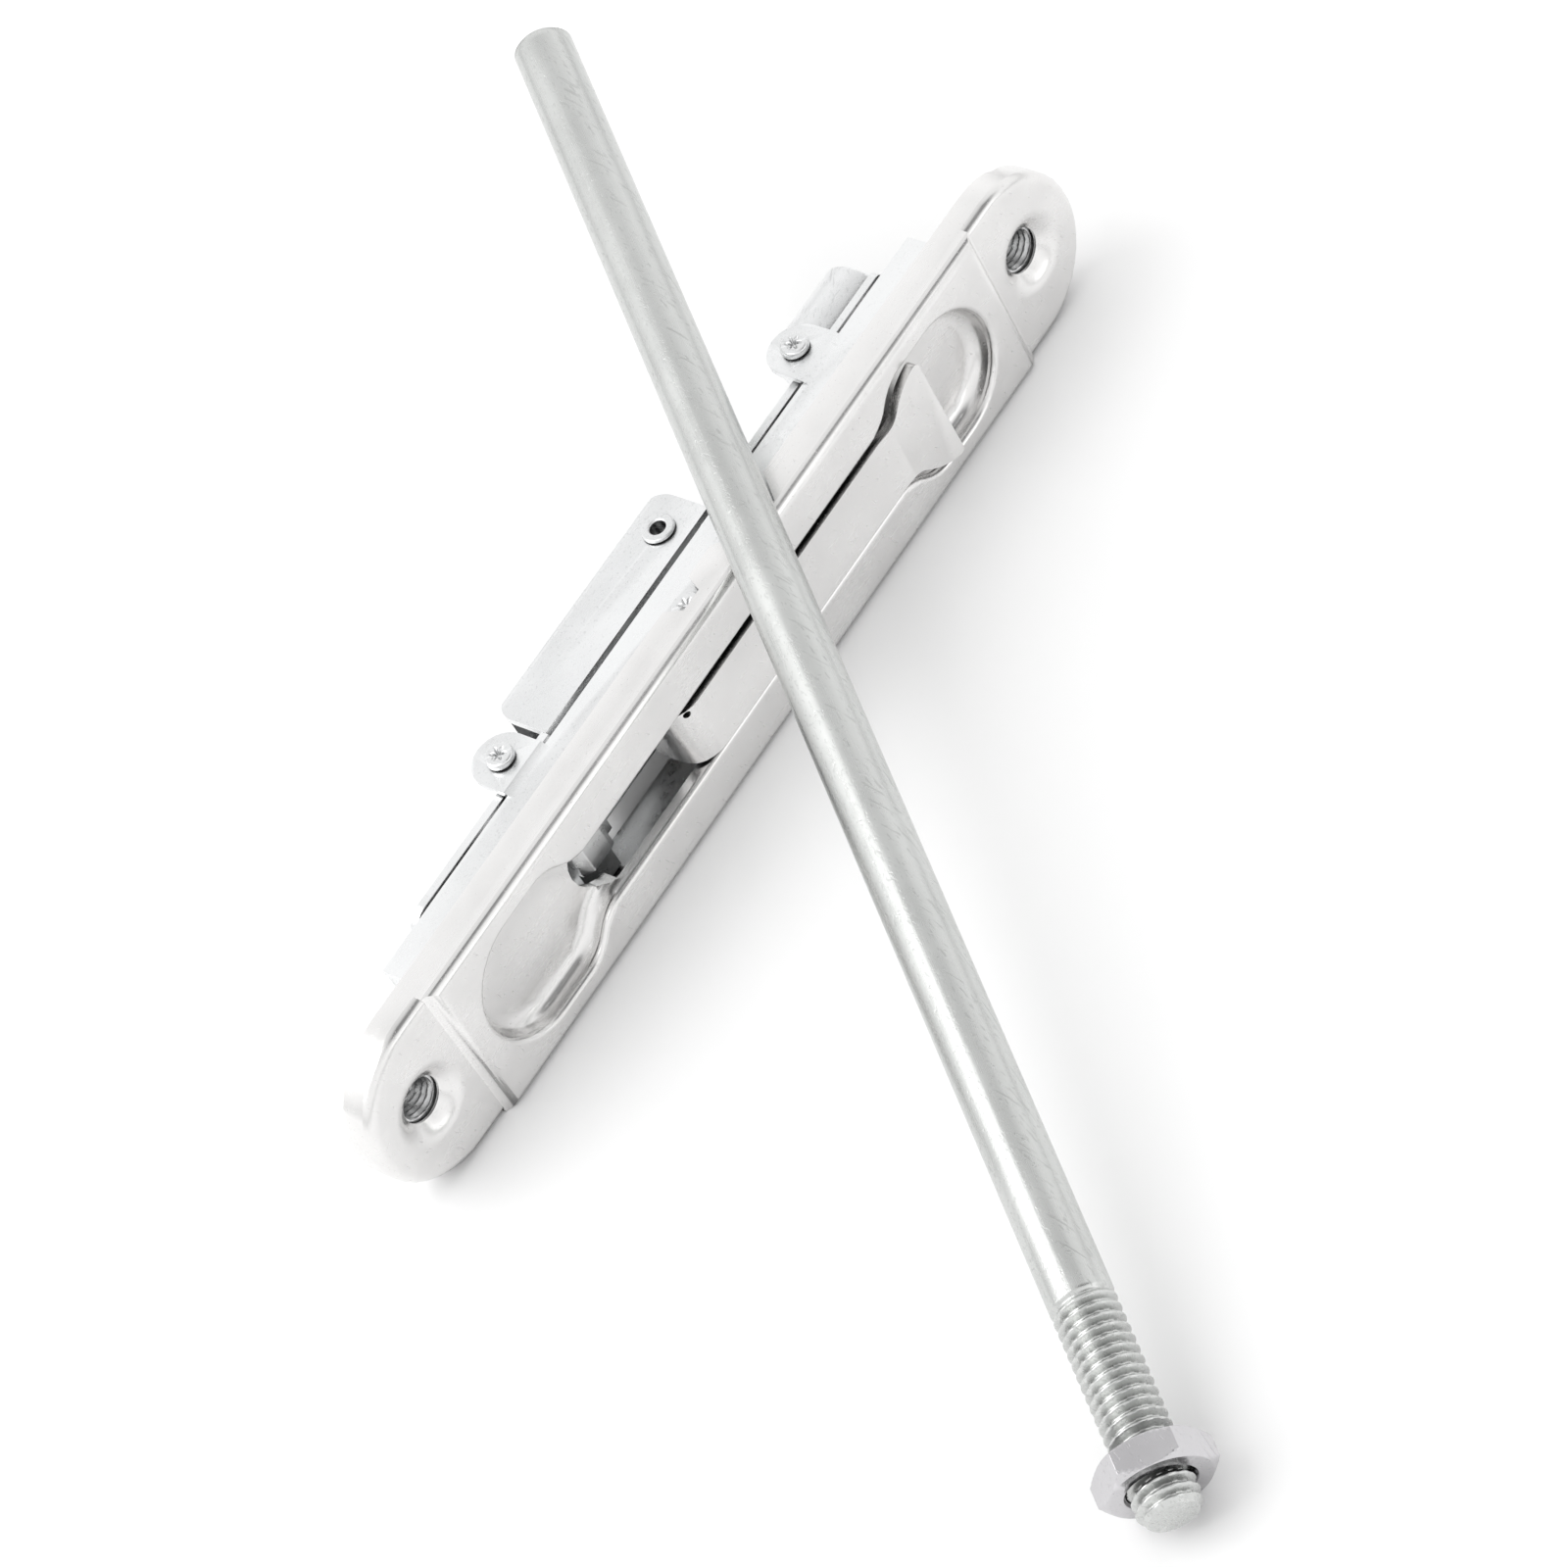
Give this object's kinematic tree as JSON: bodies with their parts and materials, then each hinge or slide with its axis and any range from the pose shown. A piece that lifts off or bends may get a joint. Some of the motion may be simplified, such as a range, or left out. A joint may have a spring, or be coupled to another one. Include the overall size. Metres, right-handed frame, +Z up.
{
  "type": "flush bolt",
  "caption": "Lever flush bolt for a door edge: recessed face plate with flip lever, sliding rod socket behind, and a loose threaded extension rod with its lock nut.",
  "frame": {"origin": "on the surface the bolt lies on, under the middle of the face plate's lower long side, 1.45 mm behind the face", "axes": "+X along the face plate towards the end where the rod socket slides out, -Y out of the face plate's face, +Z up from the long side it lies on"},
  "size_m": [0.1583, 0.1808, 0.0467],
  "materials": {
    "stainless": "satin stainless, bright on rounded edges",
    "zinc": "bright zinc plate with fine scratches",
    "rod_zinc": "zinc plate with fine lengthwise drawing marks",
    "nut_steel": "shiny plated steel",
    "spring_steel": "rolled spring steel",
    "bronze": "plain bronze bush"
  },
  "bodies": {
    "body": {"face_plate": "stainless", "bush_upper": "zinc", "bush_lower": "zinc", "housing": "zinc", "ear_pin_upper": "zinc", "ear_pin_lower": "zinc", "pivot_rivet": "zinc", "pivot_spacer_left": "zinc", "pivot_spacer_right": "zinc", "stop_block": "zinc", "leaf_spring": "spring_steel", "spring_rivet": "zinc"},
    "lever": {"lever": "stainless", "lever_bush": "bronze"},
    "slider": {"drive_bar": "zinc", "carriage": "zinc", "tubular_rivet_left": "zinc", "tubular_rivet_right": "zinc", "tube_socket": "zinc"},
    "rod": {"rod": "rod_zinc"},
    "nut": {"hex_nut": "nut_steel"}
  },
  "joints": [
    {"name": "lever_hinge", "type": "hinge", "parent": "body", "child": "lever", "pos_m": [0, 0.00315, 0.0127], "axis": [0, 0, -1], "range_deg": [0, 167]},
    {"name": "slider_slide", "type": "slide", "parent": "body", "child": "slider", "axis": [1, 0, 0], "range_m": [0, 0.02]},
    {"name": "rod_slide", "type": "slide", "parent": "body", "child": "rod", "axis": [-1, 0, 0], "range_m": [0, 0.0647]},
    {"name": "nut_slide", "type": "slide", "parent": "rod", "child": "nut", "axis": [-0.6033, -0.7806, -0.1633], "range_m": [-0.02, 0.0035]}
  ],
  "couplings": [
    {"joint": "lever_hinge", "follows": "rod_slide", "rad_per_m": 45.045},
    {"joint": "slider_slide", "follows": "rod_slide", "ratio": 0.3072}
  ]
}
